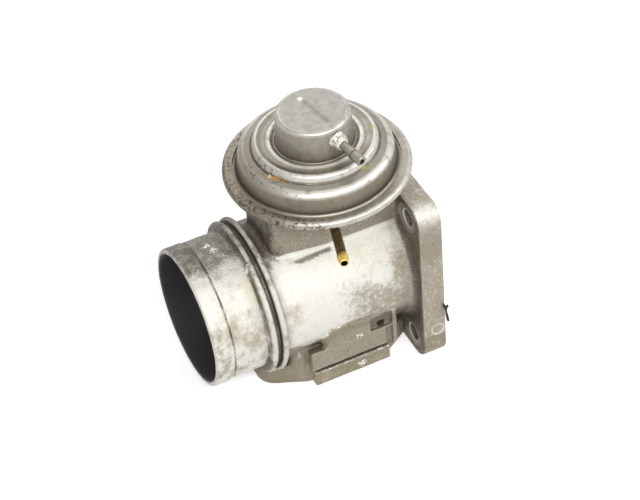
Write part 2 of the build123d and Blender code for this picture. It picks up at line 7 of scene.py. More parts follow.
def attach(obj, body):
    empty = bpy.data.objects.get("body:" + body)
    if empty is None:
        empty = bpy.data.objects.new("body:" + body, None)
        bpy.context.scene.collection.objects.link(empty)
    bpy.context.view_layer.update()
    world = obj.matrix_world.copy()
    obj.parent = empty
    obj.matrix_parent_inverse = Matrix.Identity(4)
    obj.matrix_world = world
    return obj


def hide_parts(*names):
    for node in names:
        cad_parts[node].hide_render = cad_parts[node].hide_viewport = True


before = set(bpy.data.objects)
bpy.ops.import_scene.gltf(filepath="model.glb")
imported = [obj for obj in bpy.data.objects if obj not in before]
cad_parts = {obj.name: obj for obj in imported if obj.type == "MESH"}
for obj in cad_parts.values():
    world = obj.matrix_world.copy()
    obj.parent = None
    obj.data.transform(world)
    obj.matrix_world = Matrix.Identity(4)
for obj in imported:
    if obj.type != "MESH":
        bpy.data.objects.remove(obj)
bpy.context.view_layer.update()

MM = 0.001

# ---- driving dimensions, millimetres, in the part's own frame -------------------------
STEM_X = -37.3               # stem axis, behind the manifold flange's face
MOUTH_X = -101.0             # open end of the hose spigot
BAND_END_X = -93.1           # step behind the turned band
SPIGOT_R = 29.6
RIDGES_X = (-75.9, -71.4)    # the two hose stop ridges
RIDGE_R = 33.5
DUCT_R = 30.0
BORE_R = 28.3                # everything nearer the duct's axis than this is inside it
NECK_FOOT_Z = 25.0           # where the neck's front rises from the duct
PEDESTAL_END_X = -80.0       # just past the pedestal's end, under the spigot
PEDESTAL_FOOT_Z = -28.0      # where the ridges run into the pedestal
PORT_Z = -35.0               # underside of the pedestal
RAIL_Y = -30.2               # front of the clip rail
RAIL_X = (STEM_X - 22.4, STEM_X + 13.0)
RAIL_GROOVE_Z = (-27.6, -25.8)
RECESS_X = (STEM_X + 5.0, STEM_X + 15.2)
RECESS_Z = (-16.2, -9.8)
DOME_TOP_Z = 83.9
RINGS_TOP_Z = 73.0           # top of the can's pressed rings, at the cap's foot
RING_Z = 67.4                # top of the can's outer ring
CAP_FOOT_R = 17.0
CAP_EDGE_R = (13.6, 15.2)    # crests of the can's pressed shape, from the stem outwards
INNER_RING_R = (17.6, 19.4)
MIDDLE_RING_R = (23.8, 25.4)
OUTER_RING_R = (29.2, 31.0)
ROLLED_RIM_R = (37.2, 38.6)
RING_STEP_R = (25.85, 26.15)
FLANGE_BACK_X = -10.5        # the flange's inner face
FLANGE_Y = -34.5             # near edge of the flange
BOLT_Y = 24.0                # half spacing of the flange's bolts, across and up
BOLT_Z = 32.5
SPOTFACE_R = 7.0
SPOTFACE_X = (FLANGE_BACK_X + 0.3, FLANGE_BACK_X + 0.9)    # depth of the rings faced for the bolts
BOLT_HOLE_R = 3.75
TAP_ROOT = (-39.75, -15.3, 42.0)
TAP_TURN = -16.0             # degrees from -Y towards +X
TAP_BORE_R = 1.3

# ---- camera -------------------------------------------------------------------------
CAMERA_PLACE = Vector((-320.01, -671.28, 685.20)) * MM
CAMERA_RIGHT = Vector((0.89579, -0.43973, -0.06475))
CAMERA_UP = Vector((0.34304, 0.59137, 0.72980))
LENS_MM = 134.82
SENSOR_MM = 36.0
SIGHT_M = 20.0               # how far the camera sees, metres


def add_camera():
    """Long lens, a little above the can and off towards the spigot."""
    bpy.ops.object.camera_add()
    camera = bpy.context.object
    camera.name = "camera"
    back = CAMERA_RIGHT.cross(CAMERA_UP)
    turn = Matrix((CAMERA_RIGHT, CAMERA_UP, back)).transposed().to_4x4()
    camera.matrix_world = Matrix.Translation(CAMERA_PLACE) @ turn
    camera.data.lens = LENS_MM
    camera.data.sensor_width = SENSOR_MM
    camera.data.clip_end = SIGHT_M
    bpy.context.scene.camera = camera


# ---- shader building ------------------------------------------------------------------
SPECK_SPREAD = 2.4           # how strongly grain breaks a mask up
CORNER_SAMPLES = 6           # rays that feel for a corner


class Finish:
    """A material being built: its nodes, and the place on the part in millimetres."""

    def __init__(self, name, metallic):
        self.material = bpy.data.materials.new(name)
        self.material.use_nodes = True
        tree = self.material.node_tree
        self.nodes, self.links = tree.nodes, tree.links
        self.shader = self.nodes["Principled BSDF"]
        self.shader.inputs["Metallic"].default_value = metallic
        coordinates = self.nodes.new("ShaderNodeTexCoord")
        self.place = self.vector("SCALE", coordinates.outputs["Object"], scale=1 / MM)
        parts = self.nodes.new("ShaderNodeSeparateXYZ")
        self.links.new(self.place, parts.inputs[0])
        self.x, self.y, self.z = parts.outputs[0], parts.outputs[1], parts.outputs[2]

    def feed(self, socket, value):
        """Links a node's output, or sets a plain number or vector."""
        if isinstance(value, bpy.types.NodeSocket):
            self.links.new(value, socket)
        else:
            socket.default_value = value

    def calc(self, operation, a, b=0.0, c=0.0, clamp=False):
        """Sum on numbers."""
        node = self.nodes.new("ShaderNodeMath")
        node.operation = operation
        node.use_clamp = clamp
        for socket, value in zip(node.inputs, (a, b, c)):
            self.feed(socket, value)
        return node.outputs[0]

    def vector(self, operation, a, b=None, scale=None, result="Vector"):
        """Sum on vectors."""
        node = self.nodes.new("ShaderNodeVectorMath")
        node.operation = operation
        self.feed(node.inputs[0], a)
        if b is not None:
            self.feed(node.inputs[1], b)
        if scale is not None:
            self.feed(node.inputs["Scale"], scale)
        return node.outputs[result]

    def noise(self, size, detail=4.0, roughness=0.6, stretch=None, distortion=0.0):
        """Cloudy pattern from 0 to 1 with blotches about size millimetres wide."""
        node = self.nodes.new("ShaderNodeTexNoise")
        node.inputs["Scale"].default_value = 1 / size
        node.inputs["Detail"].default_value = detail
        node.inputs["Roughness"].default_value = roughness
        node.inputs["Distortion"].default_value = distortion
        place = self.vector("MULTIPLY", self.place, stretch) if stretch else self.place
        self.links.new(place, node.inputs["Vector"])
        return node.outputs["Fac"]

    # Places on the part.

    def length(self, a, b):
        """Length of a flat offset."""
        squares = self.calc("ADD", self.calc("POWER", a, 2.0), self.calc("POWER", b, 2.0))
        return self.calc("SQRT", squares)

    def round_stem(self):
        """Distance from the stem's axis."""
        return self.length(self.calc("SUBTRACT", self.x, STEM_X), self.y)

    def round_duct(self):
        """Distance from the duct's axis."""
        return self.length(self.y, self.z)

    def facing(self, direction):
        """How far the surface faces a direction of the part, from -1 to 1."""
        normal = self.nodes.new("ShaderNodeNewGeometry").outputs["Normal"]
        return self.vector("DOT_PRODUCT", normal, Vector(direction).normalized(), result="Value")

    def edges(self, low, high):
        """Mask of edges, from 0 at the low to 1 at the high pointiness; 0.5 is flat and 1 is sharp."""
        pointiness = self.nodes.new("ShaderNodeNewGeometry").outputs["Pointiness"]
        return self.ramp(pointiness, low, high)

    def hollow(self, reach):
        """Mask that is 1 deep in corners and 0 in the open, within reach millimetres."""
        node = self.nodes.new("ShaderNodeAmbientOcclusion")
        node.samples = CORNER_SAMPLES
        node.only_local = True
        node.inputs["Distance"].default_value = reach * MM
        return self.calc("SUBTRACT", 1.0, node.outputs["AO"])

    # Masks, from 0 to 1.

    def ramp(self, value, low, high):
        """Smooth step from 0 at low to 1 at high; low may be the greater."""
        node = self.nodes.new("ShaderNodeMapRange")
        node.interpolation_type = "SMOOTHSTEP"
        self.feed(node.inputs["Value"], value)
        node.inputs["From Min"].default_value = low
        node.inputs["From Max"].default_value = high
        return node.outputs["Result"]

    def between(self, value, low, high, soft):
        """Mask that is 1 from low to high and fades over soft."""
        return self.both(self.ramp(value, low - soft, low), self.ramp(value, high + soft, high))

    def both(self, *masks, most=1.0):
        """Product of masks, scaled to reach most where all of them are 1."""
        result = masks[0]
        for mask in masks[1:]:
            result = self.calc("MULTIPLY", result, mask)
        return result if most == 1.0 else self.calc("MULTIPLY", result, most)

    def either(self, *masks):
        """Greatest of masks."""
        result = masks[0]
        for mask in masks[1:]:
            result = self.calc("MAXIMUM", result, mask)
        return result

    def uneven(self, noise, least, spread):
        """Least, and more by up to spread where the noise is high."""
        return self.calc("MULTIPLY_ADD", noise, spread, least)

    def moved(self, value, noise, reach):
        """The value raised by up to reach where the noise is high, so that its borders wander."""
        return self.calc("MULTIPLY_ADD", noise, reach, value)

    def dusted(self, mask, grain):
        """The mask broken up into specks, the fewer the weaker it is, and never quite solid."""
        raised = self.moved(self.calc("SUBTRACT", mask, SPECK_SPREAD / 2), grain, SPECK_SPREAD)
        return self.both(self.ramp(raised, 0.05, 0.95), self.uneven(mask, least=0.4, spread=0.6))

    def follow(self, value, points):
        """Height of the line through (value, height) points, smoothly joined."""
        (start, _), (end, _) = points[0], points[-1]
        low = min(height for _, height in points)
        high = max(height for _, height in points)
        node = self.nodes.new("ShaderNodeFloatCurve")
        curve = node.mapping.curves[0]
        while len(curve.points) < len(points):
            curve.points.new(0.5, 0.5)
        for point, (place, height) in zip(curve.points, points):
            point.location = ((place - start) / (end - start), (height - low) / (high - low))
        node.mapping.update()
        along = self.calc("DIVIDE", self.calc("SUBTRACT", value, start), end - start, clamp=True)
        self.links.new(along, node.inputs["Value"])
        return self.calc("MULTIPLY_ADD", node.outputs[0], high - low, low)

    def wandering(self, distance, ragged, grain):
        """The distance, moved in and out by up to ragged, in lumps of grain millimetres."""
        if not ragged:
            return distance
        return self.calc("ADD", distance, self.uneven(self.noise(grain), -2 * ragged, 4 * ragged))

    def spot(self, centre, radius, soft, ragged=0.0, grain=3.0):
        """Mask round a point of the part, with a ragged edge."""
        distance = self.vector("DISTANCE", self.place, centre, result="Value")
        return self.ramp(self.wandering(distance, ragged, grain), radius + soft, radius)

    def streak(self, line, radius, soft, ragged=0.0, grain=3.0):
        """Mask along the line between two points of the part, with a ragged edge."""
        start, end = Vector(line[0]), Vector(line[1])
        run = end - start
        offset = self.vector("SUBTRACT", self.place, start)
        advance = self.vector("DOT_PRODUCT", offset, run, result="Value")
        along = self.calc("DIVIDE", advance, run.length_squared, clamp=True)
        nearest = self.vector("SCALE", run, scale=along)
        distance = self.vector("DISTANCE", offset, nearest, result="Value")
        return self.ramp(self.wandering(distance, ragged, grain), radius + soft, radius)

    # Colour, polish and relief.

    def blend(self, mask, under, over):
        """Colour under, covered by colour over where mask is 1."""
        node = self.nodes.new("ShaderNodeMix")
        node.data_type = "RGBA"
        self.feed(node.inputs["Factor"], mask)
        for socket, value in ((node.inputs["A"], under), (node.inputs["B"], over)):
            if isinstance(value, tuple):
                socket.default_value = (*value, 1.0)
            else:
                self.links.new(value, socket)
        return node.outputs["Result"]

    def two_tone(self, noise, ground, patches, low=0.35, high=0.65):
        """Ground colour with soft-edged patches of the other, where the noise is high."""
        return self.blend(self.ramp(noise, low, high), ground, patches)

    def cover(self, colour, over, mask, most=1.0):
        """The colour, covered by another where mask is 1, by no more than most."""
        return self.blend(self.both(mask, most=most), colour, over)

    def paint(self, colour):
        """Makes the colour the finished one."""
        self.links.new(colour, self.shader.inputs["Base Color"])

    def polish(self, value, smooth, rough):
        """Roughness from smooth to rough as value goes from 0 to 1."""
        node = self.nodes.new("ShaderNodeMapRange")
        self.feed(node.inputs["Value"], value)
        node.inputs["To Min"].default_value = smooth
        node.inputs["To Max"].default_value = rough
        self.links.new(node.outputs["Result"], self.shader.inputs["Roughness"])

    def relief(self, height, depth):
        """Bump, depth in millimetres."""
        node = self.nodes.new("ShaderNodeBump")
        node.inputs["Distance"].default_value = depth * MM
        self.links.new(height, node.inputs["Height"])
        self.links.new(node.outputs["Normal"], self.shader.inputs["Normal"])


# ---- colours --------------------------------------------------------------------------
CLEAN_CAST = (0.66, 0.64, 0.585)
DULL_CAST = (0.52, 0.495, 0.43)
# bright cast skin: rubbed places, and painted highlights on the fillet and the rail's edges
BRIGHT_CAST = (0.78, 0.765, 0.705)
CREAM = (0.66, 0.62, 0.47)
TAN_CAST = (0.45, 0.405, 0.325)
DARK_TAN = (0.285, 0.245, 0.183)
NECK_TAN = (0.245, 0.208, 0.150)
GREY_GRIME_AND_SHADE = (0.105, 0.090, 0.066)
WORN_GRIME_AND_SHADE = (0.29, 0.265, 0.205)
OLIVE_FILM_AND_SHADE = (0.226, 0.201, 0.130)
# dark brown: dirt, and also painted shade in corners, creases, steps and faces turned from the light
BROWN_GRIME_AND_SHADE = (0.075, 0.058, 0.042)
# colour of the painted shadow under the neck's fillet
FILLET_SHADE = (0.135, 0.112, 0.080)
MACHINED = (0.60, 0.585, 0.54)
SOOT = (0.038, 0.033, 0.035)
CHALK = (0.85, 0.83, 0.77)
OIL_STAIN = (0.46, 0.39, 0.27)
ZINC = (0.315, 0.298, 0.258)
DULL_ZINC = (0.272, 0.250, 0.207)
BRIGHT_ZINC = (0.70, 0.68, 0.62)
CAP_ZINC = (0.315, 0.308, 0.282)
DULL_CAP = (0.275, 0.268, 0.243)
WALL_DIRT_AND_SHADE = (0.178, 0.148, 0.108)
DARK_STROKE = (0.14, 0.13, 0.11)
ORANGE = (0.55, 0.25, 0.06)
BURNT_ORANGE = (0.22, 0.09, 0.035)
STRAW = (0.66, 0.55, 0.30)
YELLOW_GREEN = (0.36, 0.35, 0.05)

# ---- marks of wear, as points (x, y, z) of the part, or lines between two of them -------
FLANGE_MIDDLE = (-5.0, FLANGE_Y, 22.0)
FLANGE_STAIN = (-5.0, FLANGE_Y, 25.0)
FLANGE_CORNER = (-5.5, FLANGE_Y, 42.0)
PIN_MARK = (-3.6, FLANGE_Y, -24.8)                    # ring left by an ejector pin
PIN_RING_R = (2.5, 3.0)
BESIDE_RIDGE = (-69.0, -14.5, 26.2)
FILLET_TO_FLANGE = ((-36.0, -15.7, 25.6), (-14.5, -14.4, 26.3))
SPIGOT_STAIN = ((-91.0, -26.8, 13.0), (-80.0, -29.6, 2.0))
RIDGE_STAIN = (-65.5, -28.5, 8.0)
RIDGE_TRICKLE = ((-64.0, -28.0, 11.0), (-68.0, -30.0, 2.0))
RAIL_STAIN = (-55.7, RAIL_Y, -31.0)
RAIL_END_STAIN = (-28.7, RAIL_Y, -32.0)
CREAM_IN_GROOVE = ((-76.5, -17.0, 25.0), (-72.5, -21.5, 21.5))
CREAM_ON_SPIGOT = ((-79.0, -17.5, 24.0), (-78.5, -22.0, 19.5))
CREAM_ON_DUCT = ((-34.0, -20.5, 22.0), (-20.0, -22.0, 20.5))
CHIPS = (                                             # place and radius
    ((-86.3, 5.3, 29.4), 1.3), ((-85.6, 1.7, 29.6), 1.0), ((-37.5, -30.0, -15.4), 0.8),
    ((-37.6, -30.2, -31.5), 1.1), ((-66.5, -27.0, -24.0), 0.8), ((-76.3, -13.5, 27.8), 1.6),
)
GRIME_LINE = (                                        # (x, z), between bright duct and brown pedestal
    (-90.0, -20.0), (-69.0, -9.5), (-58.0, -12.5), (-49.0, -7.0),
    (-38.0, -6.5), (-28.0, -9.0), (-10.0, -13.0),
)
CAP_STROKE = ((-37.9, 6.5, DOME_TOP_Z), (-35.3, -9.0, DOME_TOP_Z))
# painted glint on the cap's top
CAP_GLINT = (-38.6, 8.6, DOME_TOP_Z)
ORANGE_DAB = ((-61.4, -10.4, RING_Z), (-57.6, -15.8, RING_Z))
STRAW_DAB = (-61.9, -9.6, RING_Z)
GREEN_SMEAR = ((-30.4, -23.3, RING_Z), (-24.0, -25.2, RING_Z))
GREEN_DAB = (-15.0, -6.3, 69.8)
WEDGE_TIP_X = -60.3                                   # painted shadow wedge along the neck's fillet
WEDGE_TOP_Z = 25.1
WEDGE_RISE = 0.028                                    # of its upper edge, towards the tap
WEDGE_OPENING = 0.33
WEDGE_DEPTH = 1.5
DUCT_SLOPE = 0.37                                     # of the brown border beside the flange

# ---- cast aluminium -------------------------------------------------------------------
CONVEX = (0.52, 0.60)        # pointiness of edges and of creases
CONCAVE = (0.485, 0.44)
TURNED_BACK = (0.30, 0.80)   # how far a face looks towards the spigot
TURNED_FLAT = (0.9, 0.98)    # how far a machined face looks along its own axis


def cast_aluminium():
    """Grey casting: lighter on the duct, with painted highlights on the fillet, lip and ridges, tan and
    brown with painted shade in its corners, sooty inside.
    """
    f = Finish("cast_aluminium", metallic=0.3)
    broad = f.noise(20.0, detail=3.0)
    middling = f.noise(5.0, detail=5.0)
    grain = f.noise(0.8, detail=5.0, roughness=0.65)
    sand = f.noise(1.7, detail=5.0, roughness=0.75)
    tan, neck = tan_places(f, middling), neck_places(f)
    colour = f.two_tone(middling, CLEAN_CAST, DULL_CAST)
    colour = f.cover(colour, BRIGHT_CAST, lighter_duct_front(f, middling), most=0.9)
    colour = f.cover(colour, DARK_TAN, spigot_clouds(f, middling))
    colour = f.cover(colour, f.two_tone(sand, TAN_CAST, DARK_TAN, 0.25, 0.72), f.dusted(tan, sand))
    # brown film, and painted shade just under the duct
    colour = f.cover(colour, NECK_TAN, pedestal_film(f, middling))
    gritty = f.cover(NECK_TAN, TAN_CAST, f.ramp(sand, 0.50, 0.66), most=0.7)
    colour = f.cover(colour, gritty, f.dusted(neck, sand), most=0.95)
    # painted shadow under the neck's fillet
    colour = f.cover(colour, FILLET_SHADE, fillet_shadow(f, sand), most=0.9)
    colour = f.cover(colour, OIL_STAIN, stains(f, broad, middling), most=0.7)
    colour = f.cover(colour, CREAM, cream_places(f), most=0.75)
    # oily film, and painted shade under the spigot
    colour = f.cover(colour, OLIVE_FILM_AND_SHADE, f.dusted(olive_film_and_shade_places(f, middling), sand), most=0.85)
    # grime, and painted shade on faces turned from the light
    blotches = f.noise(4.5, detail=5.0, roughness=0.7, distortion=0.6)
    grime_and_shade_colour = f.two_tone(blotches, GREY_GRIME_AND_SHADE, WORN_GRIME_AND_SHADE, 0.44, 0.62)
    colour = f.cover(colour, grime_and_shade_colour, f.dusted(grime_and_shade_places(f, middling), grain), most=0.94)
    colour = f.cover(colour, NECK_TAN, flange_stain(f), most=0.5)
    # painted highlight on the fillet and on the rail's edges, and rubbed places
    colour = f.cover(colour, BRIGHT_CAST, f.dusted(rubbed_and_lit_details(f), sand), most=0.85)
    # worn edges, and painted highlights on the mouth's lip and the ridges' crests
    colour = f.cover(colour, CLEAN_CAST, worn_and_lit_edges(f, middling, sand))
    # painted shade and dirt in concave creases
    shaded_creases = f.both(f.edges(*CONCAVE), f.ramp(sand, 0.30, 0.55))
    colour = f.cover(colour, BROWN_GRIME_AND_SHADE, shaded_creases, most=0.6)
    # painted shade in corners, in the turned steps and on faces turned from the light
    shaded_corners = f.ramp(f.moved(f.hollow(9.0), grain, 0.35), 0.36, 0.74)
    colour = f.cover(colour, BROWN_GRIME_AND_SHADE, f.either(shaded_corners, turned_lines(f, grain), shaded_faces(f)))
    colour = f.cover(colour, BROWN_GRIME_AND_SHADE, brown_grains(f, f.either(tan, neck), broad, grain))
    colour = f.cover(colour, CHALK, chips(f, grain))
    cutter_marks = f.noise(2.5, detail=5.0, roughness=0.65, stretch=(0.2, 1.0, 0.4))
    milled = f.two_tone(cutter_marks, MACHINED, DULL_CAST, 0.38, 0.68)
    colour = f.cover(colour, milled, machined_places(f))
    inside = f.ramp(f.moved(f.round_duct(), grain, 0.6), BORE_R + 0.4, BORE_R)
    f.paint(f.cover(colour, SOOT, inside))
    f.polish(f.either(grain, inside), smooth=0.36, rough=0.70)
    f.relief(f.moved(grain, middling, 0.6), depth=0.25)
    return f.material


def lighter_duct_front(f, middling):
    """The duct's front between ridges and flange, and the spigot's, painted lighter."""
    wander = f.uneven(middling, least=-5.0, spread=10.0)
    height = f.calc("ADD", f.z, wander)
    past_ridges = f.ramp(f.x, -70.0, -66.0)
    short_of_flange = f.ramp(f.calc("ADD", f.x, wander), FLANGE_BACK_X - 3.5, FLANGE_BACK_X - 13.5)
    duct = f.both(past_ridges, short_of_flange, f.between(height, -6.0, 30.0, soft=6.0))
    before_ridges = f.ramp(f.x, -70.0, -74.0)
    spigot = f.both(before_ridges, f.between(height, -30.0, 26.0, soft=5.0), most=0.9)
    return f.either(duct, spigot)


def spigot_clouds(f, middling):
    """Dull clouds over the hose spigot, drawn out round it and stronger low down."""
    drawn = f.noise(6.0, detail=5.0, roughness=0.65, stretch=(1.6, 0.8, 0.8))
    cloudy = f.both(f.ramp(drawn, 0.46, 0.66), f.ramp(middling, 0.30, 0.60))
    on_spigot = f.ramp(f.x, -64.0, -72.0)
    low_down = f.ramp(f.z, 22.0, 8.0)
    return f.both(on_spigot, cloudy, f.uneven(low_down, least=0.35, spread=0.45))


def tan_places(f, middling):
    """Pedestal and rail, flange, and the duct's end beside the flange."""
    pedestal = f.both(on_pedestal(f), most=1.35)
    on_flange = f.ramp(f.x, FLANGE_BACK_X - 3.0, FLANGE_BACK_X + 1.0)
    flange = f.both(on_flange, f.uneven(middling, least=0.30, spread=0.9))
    flange_middle = f.spot(FLANGE_MIDDLE, radius=5.0, soft=5.0, ragged=2.0)
    near_flange = f.ramp(f.moved(f.x, middling, 8.0), FLANGE_BACK_X - 9.5, FLANGE_BACK_X - 0.5)
    root = f.both(near_flange, f.ramp(f.z, 27.0, 14.0), most=0.95)
    right_half = f.ramp(f.x, -50.0, -30.0)
    under_slope = f.ramp(f.calc("MULTIPLY_ADD", f.x, DUCT_SLOPE, f.z), 3.0, -7.0)
    beside_flange = f.both(right_half, under_slope, f.ramp(middling, 0.15, 0.50), most=0.9)
    on_band = f.ramp(f.x, BAND_END_X, BAND_END_X - 0.5)
    band_foot = f.both(on_band, f.ramp(f.z, 18.0, 12.0), f.ramp(middling, 0.42, 0.58), most=0.6)
    return f.either(pedestal, flange, flange_middle, root, beside_flange, band_foot)


def neck_places(f):
    """Front of the neck, above its fillet."""
    above_fillet = f.ramp(f.z, NECK_FOOT_Z - 3.0, NECK_FOOT_Z)
    off_duct = f.ramp(f.round_duct(), DUCT_R + 0.8, DUCT_R + 1.5)
    off_flange = f.ramp(f.x, FLANGE_BACK_X + 1.0, FLANGE_BACK_X - 1.0)
    return f.both(above_fillet, off_duct, off_flange, most=0.95)


def below_grime_line(f):
    """1 below the ragged border between the bright duct and the brown pedestal."""
    over_line = f.calc("SUBTRACT", f.z, f.follow(f.x, GRIME_LINE))
    wander = f.uneven(f.noise(2.5), least=-2.0, spread=4.0)
    return f.ramp(f.calc("ADD", over_line, wander), 0.8, -0.8)


def on_pedestal(f):
    """Everything under the border, and the pedestal's end under the hose stop ridges."""
    off_spigot = f.ramp(f.x, PEDESTAL_END_X, PEDESTAL_END_X + 3.0)
    front = f.both(below_grime_line(f), f.ramp(f.z, -2.0, -4.0), off_spigot)
    outside_ridges = f.both(f.ramp(f.round_duct(), RIDGE_R + 0.1, RIDGE_R + 0.5), f.ramp(f.z, -12.0, -14.0))
    foot = f.ramp(f.z, PEDESTAL_FOOT_Z, PEDESTAL_FOOT_Z - 1.5)
    past_end = f.ramp(f.x, PEDESTAL_END_X - 0.5, PEDESTAL_END_X + 0.5)
    end = f.both(f.either(outside_ridges, foot), past_end)
    off_flange = f.ramp(f.x, FLANGE_BACK_X + 0.5, FLANGE_BACK_X - 1.0)
    return f.both(f.either(front, end), off_flange)


def pedestal_film(f, middling):
    """Brown film over the pedestal, with painted shade in a band just under the border of the bright duct.
    """
    from_line = f.calc("SUBTRACT", f.z, f.follow(f.x, GRIME_LINE))
    # painted shade just under the duct's border
    under_line = f.between(from_line, -4.5, -1.0, soft=1.2)
    middle = f.both(f.ramp(f.x, -58.0, -52.0), f.ramp(f.x, -16.0, -22.0))
    shade_under_duct = f.both(under_line, middle, most=0.95)
    return f.both(on_pedestal(f), f.either(f.uneven(middling, least=0.05, spread=0.9), shade_under_duct))


def fillet_shadow(f, sand):
    """Painted shadow under the fillet's painted highlight: a wedge that opens towards the tap, then a
    broken line to the flange.
    """
    from_tip = f.calc("SUBTRACT", f.x, WEDGE_TIP_X)
    below = f.calc("SUBTRACT", f.calc("MULTIPLY_ADD", from_tip, WEDGE_RISE, WEDGE_TOP_Z), f.z)
    depth = f.calc("MINIMUM", f.calc("MULTIPLY", from_tip, WEDGE_OPENING), WEDGE_DEPTH)
    foot = f.wandering(f.calc("SUBTRACT", depth, below), ragged=0.45, grain=1.0)
    left_of_tap = f.both(f.ramp(f.x, -40.5, -42.5), f.ramp(f.y, -10.0, -12.0))
    wedge = f.both(f.ramp(below, -0.2, 0.4), f.ramp(foot, -0.1, 0.6), left_of_tap)
    line = f.streak(FILLET_TO_FLANGE, radius=0.3, soft=0.7, ragged=0.4, grain=1.2)
    broken = f.both(line, f.ramp(sand, 0.42, 0.55), most=0.8)
    return f.either(f.both(wedge, f.ramp(sand, 0.15, 0.42)), broken)


def stains(f, broad, middling):
    """Oily blotches at large, and the ones on the spigot, beside the ridges and on the rail."""
    anywhere = f.both(f.ramp(broad, 0.52, 0.66), f.ramp(middling, 0.42, 0.62), most=0.5)
    cloudy = f.ramp(f.moved(middling, f.noise(2.0, detail=5.0, roughness=0.7), 0.7), 0.66, 1.02)
    spigot = f.streak(SPIGOT_STAIN, radius=3.0, soft=7.0, ragged=2.5, grain=4.0)
    ridge_side = f.spot(RIDGE_STAIN, radius=1.5, soft=6.0, ragged=1.5)
    trickle = f.streak(RIDGE_TRICKLE, radius=0.6, soft=3.0, ragged=1.2)
    rail = f.spot(RAIL_STAIN, radius=3.0, soft=4.0, ragged=2.0)
    rail_end = f.spot(RAIL_END_STAIN, radius=2.5, soft=3.0, ragged=2.0)
    return f.either(anywhere, f.both(f.either(spigot, ridge_side, trickle), cloudy), rail, rail_end)


def cream_places(f):
    """Creamy corrosion that fills the groove between the ridges and spreads onto the spigot."""
    in_groove = f.streak(CREAM_IN_GROOVE, radius=1.4, soft=2.0, ragged=1.2, grain=1.5)
    on_spigot = f.streak(CREAM_ON_SPIGOT, radius=1.6, soft=3.0, ragged=2.2, grain=2.5)
    on_duct = f.streak(CREAM_ON_DUCT, radius=3.0, soft=6.0, ragged=2.0)
    return f.either(in_groove, on_spigot, f.both(on_duct, most=0.4))


def olive_film_and_shade_places(f, middling):
    """Oily film on the rail's lower bar, and painted shade on the pedestal under the spigot."""
    on_front = f.ramp(f.y, RAIL_Y + 1.7, RAIL_Y + 0.7)
    patchy = f.uneven(middling, least=0.05, spread=1.5)
    lower_bar = f.both(f.ramp(f.z, -27.2, -27.8), on_front, patchy)
    # painted shade under the spigot
    shade_under_spigot = f.both(f.ramp(f.x, -58.0, -70.0), f.ramp(f.z, -19.0, -23.0), most=0.85)
    return f.either(lower_bar, shade_under_spigot)


def grime_and_shade_places(f, middling):
    """Grime on the upward side of the spigot; painted shade on the neck's left face and the flange's inner
    face, which turn from the light; grime and painted shade in the gap beside it.
    """
    inward = f.calc("ADD", f.y, f.uneven(middling, least=-7.0, spread=14.0))
    upper = f.ramp(f.z, 8.0, 18.0)
    on_band = f.ramp(f.x, BAND_END_X + 0.2, BAND_END_X - 0.2)
    band_top = f.both(on_band, f.ramp(inward, -9.0, -5.0), upper)
    before_ridges = f.ramp(f.x, -68.0, -73.0)
    spigot_top = f.both(before_ridges, f.ramp(inward, -17.0, -1.0), upper, most=0.85)
    past_ridges = f.ramp(f.x, -70.5, -69.5)
    neck_corner = f.ramp(f.moved(f.x, middling, 8.0), -54.0, -58.0)
    behind_ridge = f.both(past_ridges, neck_corner, f.ramp(inward, -15.0, -11.0), upper, most=0.95)
    # faces turned away from the light get painted shade
    backward = f.ramp(f.facing((-1, 0, 0)), *TURNED_BACK)
    flange_inner = f.both(backward, f.ramp(f.x, FLANGE_BACK_X - 5.0, FLANGE_BACK_X - 2.0))
    neck_left = f.both(backward, f.ramp(f.z, NECK_FOOT_Z + 2.0, NECK_FOOT_Z + 5.0), most=0.85)
    beside_ridge = f.spot(BESIDE_RIDGE, radius=1.2, soft=1.6, ragged=1.5, grain=1.5)
    return f.either(band_top, spigot_top, behind_ridge, flange_inner, neck_left, beside_ridge)


def flange_stain(f):
    """Brown stain on the flange's near edge."""
    on_edge = f.ramp(f.x, FLANGE_BACK_X + 0.1, FLANGE_BACK_X + 0.7)
    return f.both(f.spot(FLANGE_STAIN, radius=7.0, soft=6.0, ragged=3.0), on_edge)


def rubbed_and_lit_details(f):
    """Painted highlight along the fillet between neck and duct, and the flange's rubbed corner."""
    on_fillet = f.between(f.round_duct(), DUCT_R + 0.3, DUCT_R + 0.8, soft=0.3)
    near_foot = f.ramp(f.z, NECK_FOOT_Z - 5.0, NECK_FOOT_Z - 2.0)
    # painted highlight along the fillet
    fillet_highlight = f.both(on_fillet, near_foot, f.between(f.x, -64.0, -16.0, soft=1.0))
    corner = f.both(f.spot(FLANGE_CORNER, radius=4.0, soft=7.0, ragged=2.5, grain=3.0), most=0.9)
    from_pin = f.vector("DISTANCE", f.place, PIN_MARK, result="Value")
    pin_ring = f.both(f.between(from_pin, *PIN_RING_R, soft=0.35), most=0.7)
    return f.either(fillet_highlight, corner, pin_ring, rail_edge_wear_and_highlights(f))


def rail_edge_wear_and_highlights(f):
    """Edges of the clip rail, on both sides of its groove: worn, with a painted highlight where they catch
    the light.
    """
    low, high = RAIL_GROOVE_Z
    on_front = f.both(f.ramp(f.y, RAIL_Y + 1.6, RAIL_Y + 0.8), f.between(f.x, *RAIL_X, soft=0.3))
    lines = f.either(f.between(f.z, high, high + 0.6, soft=0.3), f.between(f.z, low - 0.45, low, soft=0.3))
    return f.both(lines, on_front, f.ramp(f.noise(2.5, detail=5.0), 0.38, 0.60), most=0.85)


